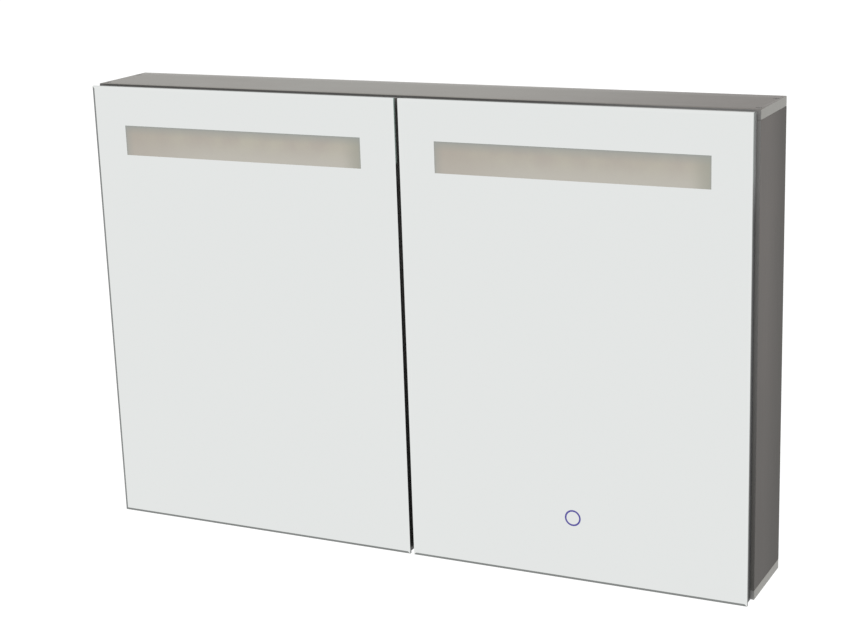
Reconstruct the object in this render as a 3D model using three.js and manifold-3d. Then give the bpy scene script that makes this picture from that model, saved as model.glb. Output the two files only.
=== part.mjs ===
// Wall-hung bathroom medicine cabinet with two mirrored doors, millimetres, +Z up.
// +X runs to the right of someone standing in front of it, and the wall is the plane y = 0 behind it.
// The origin is the middle of the hanging rail's rear face, which rests on the wall.
// Each door carries a frosted light window and swings on two concealed hinges at its outer side.

import * as THREE from 'three';
import { ConvexGeometry } from 'three/addons/geometries/ConvexGeometry.js';
import { mergeVertices } from 'three/addons/utils/BufferGeometryUtils.js';
import Module from 'manifold-3d';

const wasm = await Module();
wasm.setup();

// Driving dimensions.
const BODY_WIDTH = 900;
const BODY_HEIGHT = 594;
const BODY_DEPTH = 106;
const PANEL = 12; // top, bottom and side panels
const DIVIDER = 10;
const DIVIDER_SETBACK = 2; // divider's edge behind the cabinet's front plane
const BACK_PANEL = 3;
const BACK_RECESS = 22; // free depth behind the back panel
const GROOVE_DEPTH = 5; // how far the back panel enters the panels round it
const FIT = 0.3; // gap between pieces that are cut for each other
const PAST = 1; // how far a cutting shape runs past the face that it cuts

const RAIL_HEIGHT = 34;
const RAIL_WALL = 2;
const RAIL_TOP_GAP = 6; // rail below the top panel
const RAIL_SLOT_SPACING = 560;
const RAIL_SLOT_HALF = 3; // half the slot's height
const RAIL_SLOT_LENGTH = 20;

const SHELF = 5;
const SHELF_REAR_GAP = 3;
const SHELF_SETBACK = 4; // shelf edge behind the cabinet's front plane
const SHELF_SIDE_GAP = 1.5;
const SHELF_LEVELS = 2;
const PIN_RADIUS = 2.5;
const PIN_FLANGE_RADIUS = 4;
const PIN_FLANGE = 1.5;
const PIN_REACH = 7; // pin beyond the panel's face
const PIN_DEPTH = 8; // pin inside the panel
const PIN_INSET = 14; // pin from the shelf's front or rear edge
const PIN_HOLE_PITCH = 32;
const PIN_HOLES = [-1, 0, 1]; // rows of holes about each level
const PIN_SIDES = 12;

const DOOR_GAP = 2.6; // door frame to cabinet
const SIDE_REVEAL = 2.75; // cabinet side beyond the door
const TOP_REVEAL = 0.5;
const BOTTOM_OVERHANG = 1;
const CENTRE_GAP = 5.5;

const GLASS = 4;
const BEVEL_WIDTH = 3.2; // polished bevel round the glass front
const BEVEL_DEPTH = 0.9;
const GLASS_OVERHANG = 1.5; // glass beyond the door frame
const PROFILE_WIDTH = 34; // door frame section
const PROFILE_DEPTH = 12;
const PROFILE_WALL = 1.5;
const TONGUE_INSET = 3.5; // the strip that the glass is bonded to
const TONGUE_WIDTH = 10.5;
const TONGUE_DEPTH = 2;
const REBATE_WIDTH = 6; // step that the rear mirror lies in
const BACK_MIRROR = 3;

const WINDOW_MARGIN = 48; // window from the door's left and right edges
const WINDOW_HEIGHT = 39;
const WINDOW_DROP = 50.5; // window below the door's top edge
const LIGHT_BOX_GAP = 3.5; // light box to door frame
const LIGHT_BOX_WALL = 1;
const DIFFUSER = 2;
const STRIP_WIDTH = 10;
const STRIP = 1.5;
const SENSOR_SIZE = 32;
const SENSOR = 4;
const SENSOR_RISE = 82; // touch button above the door's bottom edge

const HINGE_DROP = 80; // hinge from the door's top or bottom edge
const KNUCKLE_INSET = 8; // door pivot from the frame's outer side
const KNUCKLE_CLEARANCE = 0.8; // link boss to the floor of the cup
const LINK_REACH = 23.75; // arm pivot inboard of the door pivot
const ARM_PIVOT_DEPTH = 6; // arm pivot behind the cabinet's front plane
const HINGE_PIN_RADIUS = 1.3;
const HINGE_BORE_RADIUS = 1.6;
const LINK_HEIGHT = 12;
const LINK_HALF = 1.3; // half the link's thickness
const LINK_BOSS_RADIUS = 2.7;
const LINK_KNEE = { along: 11.4, back: 2.4 }; // bend of the link, from the door pivot
const HINGE_SHEET = 1.5;
const CUP_SHEET = 1;
const CUP_START = 2.2; // cup from the frame's outer side
const CUP_TO_REBATE = 1.8;
const CUP_TO_CHAMBER = 0.1; // cup floor to the frame's inner front wall
const CUP_HEIGHT = 46;
const CUP_WELL_HEIGHT = 18; // the cup's open middle, where the link swings
const ARM_START = 1.5; // arm's nose behind the cabinet's front plane
const ARM_NOSE_END = 12; // where the nose widens to the arm's full width
const ARM_SHOULDER = 18;
const ARM_END = 56;
const ARM_NOSE_WALL = 2; // metal round the pivot on the side panel's side
const ARM_TO_PANEL = 6;
const PLATE_BASE = 3;
const PLATE_HALF_HEIGHT = 20;
const PLATE_START = 14;
const PLATE_END = 58;
const PLATE_STEP = 5; // base beyond the raised middle
const PIVOT_SIDES = 16;

const DRIVER = { width: 150, depth: 18, height: 34 };
const DRIVER_DROP = 30; // driver below the hanging rail
const GROMMET = { bore: 5, neck: 8, flange: 12, lip: 2 };
const GROMMET_INSET = 60; // grommet from the side panel
const GROMMET_TO_DRIVER = 40;

// Places worked out from the sizes above.
const RAIL_DROP = PANEL + RAIL_TOP_GAP + RAIL_HEIGHT / 2;
const TOP_Z = RAIL_DROP;
const BOTTOM_Z = TOP_Z - BODY_HEIGHT;
const FRONT_Y = -BODY_DEPTH;
const INNER_X = BODY_WIDTH / 2 - PANEL;
const INNER_TOP = TOP_Z - PANEL;
const INNER_BOTTOM = BOTTOM_Z + PANEL;
const BACK_REAR = -BACK_RECESS;
const BACK_FRONT = BACK_REAR - BACK_PANEL;
const DOOR_WIDTH = (BODY_WIDTH - CENTRE_GAP) / 2 - SIDE_REVEAL;
const DOOR_TOP = TOP_Z - TOP_REVEAL;
const DOOR_BOTTOM = BOTTOM_Z - BOTTOM_OVERHANG;
const DOOR_HEIGHT = DOOR_TOP - DOOR_BOTTOM;
const GROMMET_X = INNER_X - GROMMET_INSET;
const GROMMET_Z = -RAIL_HEIGHT / 2 - DRIVER_DROP - DRIVER.height / 2;
const FRAME_REAR = FRONT_Y - DOOR_GAP;
const FRAME_FRONT = FRAME_REAR - PROFILE_DEPTH;
const GLASS_REAR = FRAME_FRONT - TONGUE_DEPTH;
const SHELF_FRONT = FRONT_Y + SHELF_SETBACK;
const SHELF_REAR = BACK_FRONT - SHELF_REAR_GAP;
const WINDOW_WIDTH = DOOR_WIDTH - WINDOW_MARGIN * 2;
const LIGHT_BOX_MARGIN = WINDOW_MARGIN - GLASS_OVERHANG - PROFILE_WIDTH - LIGHT_BOX_GAP;
const CUP_END = PROFILE_WIDTH - REBATE_WIDTH - CUP_TO_REBATE;
const CUP_DEPTH = PROFILE_DEPTH - PROFILE_WALL - CUP_TO_CHAMBER;
const HINGE_LEVELS = { upper: DOOR_TOP - HINGE_DROP, lower: DOOR_BOTTOM + HINGE_DROP };

const finish = (color, roughness, metalness) => ({ color, roughness, metalness });
const FINISHES = {
  aluminium: finish(0x6f6c68, 0.42, 0.9),
  topAluminium: finish(0x9c9894, 0.4, 0.9),
  frame: finish(0x55534f, 0.45, 0.8),
  mirror: finish(0xe4e6e5, 0.03, 1),
  glass: finish(0xb9d6cb, 0.05, 0),
  nickel: finish(0xb8b6b0, 0.25, 1),
  plastic: finish(0xe8e6e0, 0.55, 0),
  opal: finish(0xc9c2b0, 0.6, 0),
  dark: finish(0x24242a, 0.6, 0),
};

// A box between two corners.
function block(x0, x1, y0, y1, z0, z1) {
  const geometry = new THREE.BoxGeometry(x1 - x0, y1 - y0, z1 - z0);
  return geometry.translate((x0 + x1) / 2, (y0 + y1) / 2, (z0 + z1) / 2);
}

// An outline in x and y, raised from z0 to z1.
function prism(outline, z0, z1, holes = []) {
  const shape = new THREE.Shape(outline.map(([x, y]) => new THREE.Vector2(x, y)));
  for (const hole of holes) {
    shape.holes.push(new THREE.Path(hole.map(([x, y]) => new THREE.Vector2(x, y))));
  }
  const geometry = new THREE.ExtrudeGeometry(shape, { depth: z1 - z0, bevelEnabled: false });
  return geometry.translate(0, 0, z0);
}

// A round bar along 'x', 'y' or 'z', from one end to the other.
function rod(radius, axis, from, to, across, sides) {
  const geometry = new THREE.CylinderGeometry(radius, radius, to - from, sides);
  const middle = (from + to) / 2;
  if (axis === 'x') return geometry.rotateZ(Math.PI / 2).translate(middle, across[0], across[1]);
  if (axis === 'y') return geometry.translate(across[0], middle, across[1]);
  return geometry.rotateX(Math.PI / 2).translate(across[0], across[1], middle);
}

function toSolid(geometry) {
  const bare = geometry.clone();
  bare.deleteAttribute('normal');
  bare.deleteAttribute('uv');
  const merged = mergeVertices(bare, 1e-4);
  return new wasm.Manifold(new wasm.Mesh({
    numProp: 3,
    vertProperties: new Float32Array(merged.attributes.position.array),
    triVerts: new Uint32Array(merged.index.array),
  }));
}

function toGeometry(solid) {
  const mesh = solid.getMesh();
  const geometry = new THREE.BufferGeometry();
  geometry.setAttribute('position', new THREE.BufferAttribute(mesh.vertProperties, 3));
  geometry.setIndex(new THREE.BufferAttribute(mesh.triVerts, 1));
  geometry.computeVertexNormals();
  return geometry;
}

const cut = (geometry, tools) => toGeometry(
  tools.reduce((solid, tool) => solid.subtract(toSolid(tool)), toSolid(geometry)));
const join = (geometries) => toGeometry(
  geometries.map(toSolid).reduce((whole, solid) => whole.add(solid)));

const cabinet = new THREE.Group();

// Adds one named piece; place moves it from where its geometry was drawn.
function piece(parent, name, geometry, look, place = [0, 0, 0]) {
  const mesh = new THREE.Mesh(geometry, new THREE.MeshStandardMaterial(FINISHES[look]));
  mesh.name = name;
  mesh.position.set(...place);
  parent.add(mesh);
}

const SIDES = { left: -1, right: 1 };

// Low and high of two values, so that mirrored pieces keep their corners in order.
const span = (a, b) => [Math.min(a, b), Math.max(a, b)];
// A box given by distances from the middle plane, on the left or on the right.
const sideBlock = (side, x0, x1, ...rest) => block(...span(side * x0, side * x1), ...rest);

// ---- Case ----

const BAY_INNER = DIVIDER / 2;
const SHELF_ZONE = (INNER_TOP - INNER_BOTTOM) / (SHELF_LEVELS + 1);
const SHELF_HEIGHTS = Array.from({ length: SHELF_LEVELS }, (_, i) => INNER_BOTTOM + SHELF_ZONE * (i + 1));
const PIN_ROWS = {
  front: SHELF_FRONT + PIN_INSET,
  rear: SHELF_REAR - PIN_INSET,
};
const PIN_BORE_RADIUS = PIN_RADIUS + FIT / 2;
const pinHeight = (shelf) => shelf - PIN_RADIUS - FIT;

// Holes for the shelf pins, bored along x from one end to the other.
function pinBores(from, to) {
  const bores = [];
  for (const height of SHELF_HEIGHTS) {
    for (const row of PIN_HOLES) {
      for (const y of Object.values(PIN_ROWS)) {
        const across = [y, pinHeight(height) + row * PIN_HOLE_PITCH];
        bores.push(rod(PIN_BORE_RADIUS, 'x', ...span(from, to), across, PIN_SIDES));
      }
    }
  }
  return bores;
}

const GROOVE_Y = [BACK_FRONT - FIT / 2, BACK_REAR + FIT / 2];

function addCase() {
  const half = BODY_WIDTH / 2;
  const grooveX = INNER_X + GROOVE_DEPTH;
  const topGroove = block(-grooveX, grooveX, ...GROOVE_Y, INNER_TOP - PAST, INNER_TOP + GROOVE_DEPTH);
  const bottomGroove = block(-grooveX, grooveX, ...GROOVE_Y, INNER_BOTTOM - GROOVE_DEPTH,
    INNER_BOTTOM + PAST);
  const top = cut(block(-half, half, FRONT_Y, 0, INNER_TOP, TOP_Z), [topGroove]);
  const bottom = cut(block(-half, half, FRONT_Y, 0, BOTTOM_Z, INNER_BOTTOM), [bottomGroove]);
  piece(cabinet, 'top_panel', top, 'topAluminium');
  piece(cabinet, 'bottom_panel', bottom, 'topAluminium');

  for (const [name, side] of Object.entries(SIDES)) {
    const panel = sideBlock(side, INNER_X, half, FRONT_Y, 0, INNER_BOTTOM, INNER_TOP);
    const groove = sideBlock(side, INNER_X - PAST, grooveX, ...GROOVE_Y, INNER_BOTTOM - PAST,
      INNER_TOP + PAST);
    const bores = pinBores(side * (INNER_X - PAST), side * (INNER_X + PIN_DEPTH));
    piece(cabinet, `${name}_side_panel`, cut(panel, [groove, ...bores]), 'aluminium');
  }

  const divider = block(-DIVIDER / 2, DIVIDER / 2, FRONT_Y + DIVIDER_SETBACK, BACK_FRONT - FIT,
    INNER_BOTTOM, INNER_TOP);
  piece(cabinet, 'centre_divider', cut(divider, pinBores(-DIVIDER, DIVIDER)), 'aluminium');

  const reach = GROOVE_DEPTH - FIT;
  const sheet = block(-INNER_X - reach, INNER_X + reach, BACK_FRONT, BACK_REAR,
    INNER_BOTTOM - reach, INNER_TOP + reach);
  const cableHole = rod(GROMMET.neck + FIT / 2, 'y', BACK_FRONT - PAST, BACK_REAR + PAST,
    [GROMMET_X, GROMMET_Z], PIVOT_SIDES);
  piece(cabinet, 'back_panel', cut(sheet, [cableHole]), 'aluminium');
}

// Hanging rail: a channel behind the back panel, with two slots for wall screws.
function addRail() {
  const half = RAIL_HEIGHT / 2;
  const inner = half - RAIL_WALL;
  const outline = block(-INNER_X, INNER_X, BACK_REAR, 0, -half, half);
  const hollow = block(-INNER_X - PAST, INNER_X + PAST, BACK_REAR - PAST, -RAIL_WALL, -inner, inner);
  const slots = [-1, 1].map((side) => {
    const x = side * RAIL_SLOT_SPACING / 2;
    const reach = RAIL_SLOT_LENGTH / 2;
    return block(x - reach, x + reach, -RAIL_WALL - PAST, PAST, -RAIL_SLOT_HALF, RAIL_SLOT_HALF);
  });
  piece(cabinet, 'hanging_rail', cut(outline, [hollow, ...slots]), 'aluminium');
}

function addShelves() {
  const inner = BAY_INNER + SHELF_SIDE_GAP;
  const outer = INNER_X - SHELF_SIDE_GAP;
  SHELF_HEIGHTS.forEach((height, i) => {
    const level = ['lower', 'upper'][i];
    for (const [name, side] of Object.entries(SIDES)) {
      const plate = sideBlock(side, inner, outer, SHELF_FRONT, SHELF_REAR,
        height, height + SHELF);
      piece(cabinet, `${name}_${level}_shelf`, plate, 'glass');
    }
    for (const [row, y] of Object.entries(PIN_ROWS)) {
      const z = pinHeight(height);
      for (const [name, side] of Object.entries(SIDES)) {
        const shank = rod(PIN_RADIUS, 'x', ...span(side * (INNER_X - PIN_REACH),
          side * (INNER_X + PIN_DEPTH - FIT)), [y, z], PIN_SIDES);
        const flange = rod(PIN_FLANGE_RADIUS, 'x', ...span(side * (INNER_X - PIN_FLANGE),
          side * INNER_X), [y, z - PIN_FLANGE_RADIUS + PIN_RADIUS], PIN_SIDES);
        piece(cabinet, `${name}_${level}_${row}_shelf_pin`, join([shank, flange]), 'nickel');
      }
      const reach = DIVIDER / 2 + PIN_REACH;
      const through = rod(PIN_RADIUS, 'x', -reach, reach, [y, z], PIN_SIDES);
      piece(cabinet, `centre_${level}_${row}_shelf_pin`, through, 'nickel');
    }
  });
}

// Driver for the lights, on the rear of the back panel, and the grommet for its door leads.
function addElectrics() {
  const { width, depth, height } = DRIVER;
  const box = block(0, width, BACK_REAR, BACK_REAR + depth, -height / 2, height / 2);
  piece(cabinet, 'led_driver', box, 'plastic', [GROMMET_X - GROMMET_TO_DRIVER - width, 0, GROMMET_Z]);

  const { bore, neck, flange, lip } = GROMMET;
  const half = BACK_PANEL / 2 + lip;
  const points = [
    [bore, -half], [flange, -half], [flange, -BACK_PANEL / 2], [neck, -BACK_PANEL / 2],
    [neck, BACK_PANEL / 2], [flange, BACK_PANEL / 2], [flange, half], [bore, half], [bore, -half],
  ].map(([x, y]) => new THREE.Vector2(x, y));
  const ring = new THREE.LatheGeometry(points, PIVOT_SIDES);
  piece(cabinet, 'cable_grommet', ring, 'dark',
    [GROMMET_X, (BACK_FRONT + BACK_REAR) / 2, GROMMET_Z]);
}

// ---- Concealed hinges ----
// The arm is fixed to the case and the cup to the door. The link turns on the arm's pin, and the
// door turns on the link at the cup's pin, so the door moves forward as it opens.

const FRAME_OUTER_X = BODY_WIDTH / 2 - SIDE_REVEAL - GLASS_OVERHANG;
const KNUCKLE_X = FRAME_OUTER_X - KNUCKLE_INSET;
const KNUCKLE_Y = FRAME_REAR - CUP_DEPTH + CUP_SHEET + LINK_BOSS_RADIUS + KNUCKLE_CLEARANCE;
const ARM_PIVOT_X = KNUCKLE_X - LINK_REACH;
const ARM_PIVOT_Y = FRONT_Y + ARM_PIVOT_DEPTH;

// A strip of even thickness along a line of points, with a round boss at each end.
function bentStrip(points, half, z0, z1) {
  const parts = [];
  for (let i = 0; i + 1 < points.length; i += 1) {
    const [ax, ay] = points[i];
    const [bx, by] = points[i + 1];
    const length = Math.hypot(bx - ax, by - ay);
    const [nx, ny] = [(ay - by) / length * half, (bx - ax) / length * half];
    const outline = [[ax + nx, ay + ny], [bx + nx, by + ny], [bx - nx, by - ny], [ax - nx, ay - ny]];
    parts.push(prism(outline, z0, z1));
    if (i > 0) parts.push(rod(half, 'z', z0, z1, points[i], PIVOT_SIDES));
  }
  for (const end of [points[0], points[points.length - 1]]) {
    parts.push(rod(LINK_BOSS_RADIUS, 'z', z0, z1, end, PIVOT_SIDES));
  }
  return join(parts);
}

function addHinges() {
  const halfLink = LINK_HEIGHT / 2;
  const channel = halfLink + FIT * 2;
  const cheek = channel + HINGE_SHEET;
  const webInner = ARM_PIVOT_X - LINK_BOSS_RADIUS - FIT * 2;
  const webOuter = webInner - HINGE_SHEET;
  const noseOuter = ARM_PIVOT_X + LINK_BOSS_RADIUS + ARM_NOSE_WALL;
  const armOuter = INNER_X - ARM_TO_PANEL;
  const noseY = FRONT_Y + ARM_START;
  const endY = FRONT_Y + ARM_END;
  for (const [name, side] of Object.entries(SIDES)) {
    for (const [level, z] of Object.entries(HINGE_LEVELS)) {
      const at = [0, 0, z];
      const mirror = ([x, y]) => [side * x, y];

      const base = sideBlock(side, INNER_X - PLATE_BASE, INNER_X, FRONT_Y + PLATE_START,
        FRONT_Y + PLATE_END, -PLATE_HALF_HEIGHT, PLATE_HALF_HEIGHT);
      const bridge = sideBlock(side, webInner + FIT, INNER_X - PLATE_BASE,
        FRONT_Y + PLATE_START + PLATE_STEP, FRONT_Y + PLATE_END - PLATE_STEP, -channel + FIT, channel - FIT);
      piece(cabinet, `${name}_${level}_hinge_plate`, join([base, bridge]), 'nickel', at);

      const outline = [
        [webOuter, noseY], [noseOuter, noseY], [noseOuter, FRONT_Y + ARM_NOSE_END],
        [armOuter, FRONT_Y + ARM_SHOULDER], [armOuter, endY], [webOuter, endY],
      ].map(mirror);
      const hollow = sideBlock(side, webInner, INNER_X, noseY - PAST, endY + PAST, -channel, channel);
      const armPin = rod(HINGE_PIN_RADIUS, 'z', -cheek + FIT, cheek - FIT,
        mirror([ARM_PIVOT_X, ARM_PIVOT_Y]), PIVOT_SIDES);
      const arm = join([cut(prism(outline, -cheek, cheek), [hollow]), armPin]);
      piece(cabinet, `${name}_${level}_hinge_arm`, arm, 'nickel', at);

      const route = [
        [KNUCKLE_X, KNUCKLE_Y],
        [KNUCKLE_X - LINK_KNEE.along, KNUCKLE_Y + LINK_KNEE.back],
        [ARM_PIVOT_X, ARM_PIVOT_Y],
      ].map(mirror);
      const bores = [route[0], route[2]].map((end) => rod(HINGE_BORE_RADIUS, 'z',
        -halfLink - PAST, halfLink + PAST, end, PIVOT_SIDES));
      const link = cut(bentStrip(route, LINK_HALF, -halfLink, halfLink), bores);
      piece(cabinet, `${name}_${level}_hinge_link`, link, 'nickel', at);
    }
  }
}

// ---- Doors ----

// One mitred length of the hollow frame section, along x, with its outer side on top at z = 0.
function mitredProfile(length) {
  const chamberRear = FRAME_REAR - PROFILE_WALL;
  const chamberFront = FRAME_FRONT + PROFILE_WALL;
  const rebateStart = PROFILE_WIDTH - REBATE_WIDTH;
  const rebateY = FRAME_REAR - BACK_MIRROR - FIT / 2;
  const tongueEnd = TONGUE_INSET + TONGUE_WIDTH;
  const outer = [
    [0, FRAME_REAR], [0, FRAME_FRONT], [TONGUE_INSET, FRAME_FRONT], [TONGUE_INSET, GLASS_REAR],
    [tongueEnd, GLASS_REAR], [tongueEnd, FRAME_FRONT], [PROFILE_WIDTH, FRAME_FRONT],
    [PROFILE_WIDTH, rebateY], [rebateStart, rebateY], [rebateStart, FRAME_REAR],
  ];
  const chamber = [
    [PROFILE_WALL, chamberRear], [PROFILE_WALL, chamberFront],
    [rebateStart - PROFILE_WALL, chamberFront], [rebateStart - PROFILE_WALL, chamberRear],
  ];
  const geometry = prism(outer, 0, 1, [chamber]);
  const position = geometry.attributes.position;
  for (let i = 0; i < position.count; i += 1) {
    const across = position.getX(i);
    const end = position.getZ(i) > 0.5 ? 1 : -1;
    const along = end * (length / 2 - across - FIT / 2);
    position.setXYZ(i, along, position.getY(i), -across);
  }
  return geometry;
}

// The same length at its place: its outer side faces up (0), right (1), down (2) or left (3).
function frameBar(length, distance, quarterTurns) {
  return mitredProfile(length).translate(0, 0, distance).rotateY(quarterTurns * Math.PI / 2);
}

// Glass with a polished bevel round its front.
function bevelledPlate(width, height, front, rear) {
  const corners = [];
  const rings = [[rear, 0], [front + BEVEL_DEPTH, 0], [front, BEVEL_WIDTH]];
  for (const [y, inset] of rings) {
    for (const [sx, sz] of [[-1, -1], [1, -1], [1, 1], [-1, 1]]) {
      corners.push(new THREE.Vector3(sx * (width / 2 - inset), y, sz * (height / 2 - inset)));
    }
  }
  return new ConvexGeometry(corners);
}

// The hinge cup: a shallow box let into the frame from behind. It is open at the rear and at the
// outer side, where the link swings out.
function hingeCup(side, outerX) {
  const [near, far] = [outerX - CUP_END, outerX - CUP_START];
  const floor = FRAME_REAR - CUP_DEPTH;
  const shell = sideBlock(side, near, far, floor, FRAME_REAR, -CUP_HEIGHT / 2, CUP_HEIGHT / 2);
  const well = sideBlock(side, near + CUP_SHEET, far + PAST, floor + CUP_SHEET, FRAME_REAR + PAST,
    -CUP_WELL_HEIGHT / 2, CUP_WELL_HEIGHT / 2);
  const pin = rod(HINGE_PIN_RADIUS, 'z', -CUP_WELL_HEIGHT / 2 - CUP_SHEET, CUP_WELL_HEIGHT / 2 + CUP_SHEET,
    [side * (outerX - KNUCKLE_INSET), KNUCKLE_Y], PIVOT_SIDES);
  return join([cut(shell, [well]), pin]);
}

function addDoor(name, side) {
  const door = new THREE.Group();
  const centreX = side * (CENTRE_GAP / 2 + DOOR_WIDTH / 2);
  const centreZ = (DOOR_TOP + DOOR_BOTTOM) / 2;
  door.position.set(centreX, 0, centreZ);
  cabinet.add(door);

  const glass = bevelledPlate(DOOR_WIDTH, DOOR_HEIGHT, GLASS_REAR - GLASS, GLASS_REAR);
  piece(door, `${name}_mirror_glass`, glass, 'mirror');

  const frameWidth = DOOR_WIDTH - GLASS_OVERHANG * 2;
  const frameHeight = DOOR_HEIGHT - GLASS_OVERHANG * 2;
  const outerX = frameWidth / 2;
  const hingeZ = Object.values(HINGE_LEVELS).map((z) => z - centreZ);
  const pockets = hingeZ.map((z) => sideBlock(side, outerX - CUP_END - FIT, outerX - CUP_START + FIT,
    FRAME_REAR - CUP_DEPTH - FIT, FRAME_REAR + PAST, z - CUP_HEIGHT / 2 - FIT, z + CUP_HEIGHT / 2 + FIT));
  const bars = {
    top_rail: frameBar(frameWidth, frameHeight / 2, 0),
    bottom_rail: frameBar(frameWidth, frameHeight / 2, 2),
    meeting_stile: frameBar(frameHeight, outerX, side > 0 ? 3 : 1),
    hinge_stile: cut(frameBar(frameHeight, outerX, side > 0 ? 1 : 3), pockets),
  };
  for (const [bar, geometry] of Object.entries(bars)) {
    piece(door, `${name}_door_${bar}`, geometry, 'frame');
  }
  Object.keys(HINGE_LEVELS).forEach((level, i) => {
    piece(door, `${name}_${level}_hinge_cup`, hingeCup(side, outerX), 'nickel', [0, 0, hingeZ[i]]);
  });

  const rebate = PROFILE_WIDTH - REBATE_WIDTH + FIT;
  const mirrorX = outerX - rebate;
  const mirrorZ = frameHeight / 2 - rebate;
  const mirrorFront = FRAME_REAR - BACK_MIRROR;
  piece(door, `${name}_rear_mirror`,
    block(-mirrorX, mirrorX, mirrorFront, FRAME_REAR, -mirrorZ, mirrorZ), 'mirror');

  addLight(door, name, DOOR_HEIGHT / 2 - WINDOW_DROP - WINDOW_HEIGHT / 2, mirrorFront);
  if (side > 0) {
    const half = SENSOR_SIZE / 2;
    const sensorZ = SENSOR_RISE - DOOR_HEIGHT / 2;
    piece(door, 'touch_sensor', block(-half, half, GLASS_REAR, GLASS_REAR + SENSOR,
      sensorZ - half, sensorZ + half), 'dark');
  }
}

// Light box behind the frosted window, with its opal diffuser and its strip of lamps.
function addLight(door, name, z, limitY) {
  const halfX = WINDOW_WIDTH / 2 + LIGHT_BOX_MARGIN;
  const halfZ = WINDOW_HEIGHT / 2 + LIGHT_BOX_MARGIN;
  const rear = limitY - FIT * 2;
  const innerX = halfX - LIGHT_BOX_WALL;
  const innerZ = halfZ - LIGHT_BOX_WALL;
  const tray = block(-halfX, halfX, GLASS_REAR, rear, -halfZ, halfZ);
  const well = block(-innerX, innerX, GLASS_REAR - PAST, rear - LIGHT_BOX_WALL, -innerZ, innerZ);
  piece(door, `${name}_light_box`, cut(tray, [well]), 'plastic', [0, 0, z]);
  piece(door, `${name}_diffuser`, block(-innerX + FIT, innerX - FIT, GLASS_REAR + FIT,
    GLASS_REAR + FIT + DIFFUSER, -innerZ + FIT, innerZ - FIT), 'opal', [0, 0, z]);
  const stripRear = rear - LIGHT_BOX_WALL;
  piece(door, `${name}_led_strip`, block(-WINDOW_WIDTH / 2, WINDOW_WIDTH / 2, stripRear - STRIP,
    stripRear, -STRIP_WIDTH / 2, STRIP_WIDTH / 2), 'opal', [0, 0, z]);
}

addCase();
addRail();
addShelves();
addElectrics();
addHinges();
for (const [name, side] of Object.entries(SIDES)) addDoor(name, side);

export default cabinet;
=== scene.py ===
"""Looks for a wall-hung medicine cabinet with two mirrored doors.

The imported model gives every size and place. The classes below dress its pieces or build finer ones in
their place: the case, shelves, hinges, doors, lights and driver, and last the studio round them.
"""

import logging
import math
from collections.abc import Callable
from dataclasses import dataclass, replace
from enum import Enum

import bmesh
import bpy
from mathutils import Euler, Matrix, Vector


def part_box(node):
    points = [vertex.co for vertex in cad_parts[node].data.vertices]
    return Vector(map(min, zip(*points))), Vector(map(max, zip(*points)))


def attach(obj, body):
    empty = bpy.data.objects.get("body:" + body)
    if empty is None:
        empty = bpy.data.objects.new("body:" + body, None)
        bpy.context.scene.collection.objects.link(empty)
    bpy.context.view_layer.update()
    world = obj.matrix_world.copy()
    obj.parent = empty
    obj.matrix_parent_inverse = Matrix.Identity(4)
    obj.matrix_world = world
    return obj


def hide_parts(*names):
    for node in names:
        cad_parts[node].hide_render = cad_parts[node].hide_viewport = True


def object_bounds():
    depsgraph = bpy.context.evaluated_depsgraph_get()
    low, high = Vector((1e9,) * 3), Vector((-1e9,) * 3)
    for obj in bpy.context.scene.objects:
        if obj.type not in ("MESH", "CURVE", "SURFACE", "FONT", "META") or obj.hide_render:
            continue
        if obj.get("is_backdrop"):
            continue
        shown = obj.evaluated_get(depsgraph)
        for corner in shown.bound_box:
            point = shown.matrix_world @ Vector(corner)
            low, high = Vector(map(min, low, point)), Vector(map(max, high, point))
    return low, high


log = logging.getLogger("cabinet")

SIDES: dict[str, int] = {"left": -1, "right": 1}
LEVELS: tuple[str, str] = ("lower", "upper")
MM: float = 0.001
STRAIGHT: float = 0.9  # a normal's least share along the way that a face looks
FLAT: float = 0.99  # the same share for a flat front face beside its bevel
TILTED: float = 0.1  # the share from which a face counts as a bevel
Colour = tuple[float, float, float]
Piece, Face = bpy.types.Object, bmesh.types.BMFace | bpy.types.MeshPolygon
Tree, Node, Socket = bpy.types.NodeTree, bpy.types.Node, bpy.types.NodeSocket


class Grain(Enum):
    """The direction in which a metal's brush marks run."""

    ALONG_X = (0.012, 1.0, 1.0)
    ALONG_Z = (1.0, 1.0, 0.012)
    NONE = (1.0, 1.0, 1.0)


class Axis(Enum):
    """The axis along which a finish changes."""

    X = "X"
    Y = "Y"
    Z = "Z"


class Facing(Enum):
    """The outward side of a panel that something is fixed to."""

    FRONT = (0.0, -1.0, 0.0)
    REAR = (0.0, 1.0, 0.0)
    UP = (0.0, 0.0, 1.0)
    DOWN = (0.0, 0.0, -1.0)
    LEFT = (-1.0, 0.0, 0.0)
    RIGHT = (1.0, 0.0, 0.0)


# ---- Nodes, and the effects shared by several materials ----


def feed(tree: Tree, node: Node, inputs: dict) -> Node:
    """Fills inputs of a node.

    Args:
        tree: the tree that holds it.
        node: the node.
        inputs: socket name or index to the socket that feeds it, or to its value.

    Returns:
        The node.
    """
    for name, given in inputs.items():
        if isinstance(given, Socket):
            tree.links.new(given, node.inputs[name])
        else:
            node.inputs[name].default_value = given
    return node


def add_node(tree: Tree, kind: str, inputs: dict) -> Node:
    """Adds a shader node of a kind and fills its inputs. Returns it."""
    return feed(tree, tree.nodes.new(f"ShaderNode{kind}"), inputs)


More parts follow.
